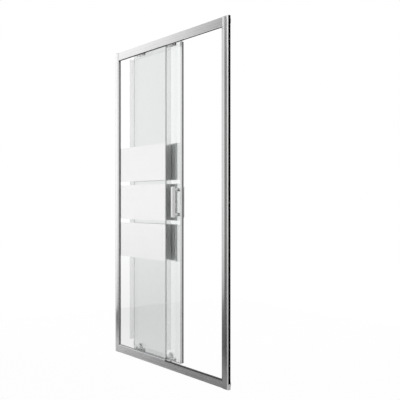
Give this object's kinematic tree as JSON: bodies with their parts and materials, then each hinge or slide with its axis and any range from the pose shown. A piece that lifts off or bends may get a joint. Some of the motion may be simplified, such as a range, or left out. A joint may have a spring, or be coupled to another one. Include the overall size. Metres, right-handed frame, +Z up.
{
  "type": "sliding shower door",
  "caption": "Framed sliding shower door for a recess: fixed pane in front, sliding pane behind on rollers, mirrored bands, bar handles.",
  "frame": {"origin": "middle of the bottom rail's underside, halfway along its width and depth", "axes": "+X to the right along the door seen from outside the shower, +Y into the shower, +Z up; the sliding pane is drawn fully open, as in the picture"},
  "size_m": [1.2, 0.091, 1.95],
  "materials": {
    "satin_aluminium": "satin anodised",
    "clear_glass": "clear toughened",
    "mirror_silver": "silvered",
    "band_backing": "grey mirror paint",
    "black_rubber": "matt",
    "dark_gasket": "matt",
    "grey_gasket": "matt",
    "clear_seal": "clear soft vinyl",
    "grey_plastic": "moulded",
    "white_nylon": "moulded",
    "dark_plastic": "moulded",
    "chrome": "polished",
    "steel": "plain",
    "magnet_strip": "matt"
  },
  "bodies": {
    "frame": {"adjusting_screws": "steel", "bottom_rail": "satin_aluminium", "fixed_band_backing": "band_backing", "fixed_glass": "clear_glass", "fixed_mirror_bands": "mirror_silver", "foot_plugs": "grey_plastic", "frame_screws": "steel", "glazing_bead": "satin_aluminium", "head_gaskets": "dark_gasket", "header_stops": "black_rubber", "header_track": "satin_aluminium", "left_stile": "satin_aluminium", "left_wall_channel": "satin_aluminium", "overlap_seal": "clear_seal", "rail_infill": "dark_gasket", "right_stile": "satin_aluminium", "right_wall_channel": "satin_aluminium", "screw_caps": "grey_plastic", "setting_blocks": "grey_plastic", "side_gaskets": "dark_gasket", "sill_gaskets": "grey_gasket", "stile_caps": "grey_plastic", "stile_infill": "satin_aluminium", "strike_magnet": "magnet_strip", "strike_profile": "satin_aluminium", "strike_screws": "steel", "wall_seals": "black_rubber"},
    "sliding_door": {"sliding_glass": "clear_glass", "sliding_mirror_bands": "mirror_silver", "sliding_band_backing": "band_backing", "leading_edge_profile": "satin_aluminium", "leading_magnet_seal": "dark_gasket", "trailing_edge_seal": "clear_seal", "bottom_wiper": "clear_seal", "front_handle": "chrome", "rear_handle": "chrome", "handle_studs": "steel", "handle_bushes": "white_nylon", "hanger_axles": "steel", "hanger_buffers": "black_rubber", "top_clamps": "steel", "bottom_clamps": "steel", "clamp_pads": "black_rubber", "clamp_bolts": "steel", "carriage_covers": "chrome", "top_hanger_left": "steel", "top_hanger_right": "steel", "bottom_carriage_left": "grey_plastic", "bottom_carriage_right": "grey_plastic", "release_spring_left": "steel", "release_spring_right": "steel"},
    "top_roller_left_a_body": {"top_roller_left_a": "white_nylon"},
    "top_roller_left_b_body": {"top_roller_left_b": "white_nylon"},
    "top_roller_right_a_body": {"top_roller_right_a": "white_nylon"},
    "top_roller_right_b_body": {"top_roller_right_b": "white_nylon"},
    "release_left": {"release_slider_left": "dark_plastic"},
    "bottom_roller_left_body": {"bottom_roller_left": "white_nylon"},
    "release_right": {"release_slider_right": "dark_plastic"},
    "bottom_roller_right_body": {"bottom_roller_right": "white_nylon"}
  },
  "joints": [
    {"name": "door_slide", "type": "slide", "parent": "frame", "child": "sliding_door", "axis": [1, 0, 0], "range_m": [0, 0.405]},
    {"name": "top_roller_left_a_spin", "type": "hinge", "parent": "sliding_door", "child": "top_roller_left_a_body", "pos_m": [-0.357, 0.002, 1.9285], "axis": [0, 1, 0], "continuous": true},
    {"name": "top_roller_left_b_spin", "type": "hinge", "parent": "sliding_door", "child": "top_roller_left_b_body", "pos_m": [-0.307, 0.002, 1.9285], "axis": [0, 1, 0], "continuous": true},
    {"name": "top_roller_right_a_spin", "type": "hinge", "parent": "sliding_door", "child": "top_roller_right_a_body", "pos_m": [-0.017, 0.002, 1.9285], "axis": [0, 1, 0], "continuous": true},
    {"name": "top_roller_right_b_spin", "type": "hinge", "parent": "sliding_door", "child": "top_roller_right_b_body", "pos_m": [0.033, 0.002, 1.9285], "axis": [0, 1, 0], "continuous": true},
    {"name": "release_left_pull", "type": "slide", "parent": "sliding_door", "child": "release_left", "axis": [0, 0, 1], "range_m": [0, 0.008], "stiffness_N_per_m": 300, "springref_m": -0.01, "deforming": ["release_spring_left"]},
    {"name": "bottom_roller_left_spin", "type": "hinge", "parent": "release_left", "child": "bottom_roller_left_body", "pos_m": [-0.332, 0.002, 0.0178], "axis": [0, 1, 0], "continuous": true},
    {"name": "release_right_pull", "type": "slide", "parent": "sliding_door", "child": "release_right", "axis": [0, 0, 1], "range_m": [0, 0.008], "stiffness_N_per_m": 300, "springref_m": -0.01, "deforming": ["release_spring_right"]},
    {"name": "bottom_roller_right_spin", "type": "hinge", "parent": "release_right", "child": "bottom_roller_right_body", "pos_m": [0.008, 0.002, 0.0178], "axis": [0, 1, 0], "continuous": true}
  ],
  "couplings": [
    {"joint": "top_roller_left_a_spin", "follows": "door_slide", "rad_per_m": 111.11},
    {"joint": "top_roller_left_b_spin", "follows": "door_slide", "rad_per_m": 111.11},
    {"joint": "top_roller_right_a_spin", "follows": "door_slide", "rad_per_m": 111.11},
    {"joint": "top_roller_right_b_spin", "follows": "door_slide", "rad_per_m": 111.11},
    {"joint": "bottom_roller_left_spin", "follows": "door_slide", "rad_per_m": 111.11},
    {"joint": "bottom_roller_right_spin", "follows": "door_slide", "rad_per_m": 111.11}
  ]
}
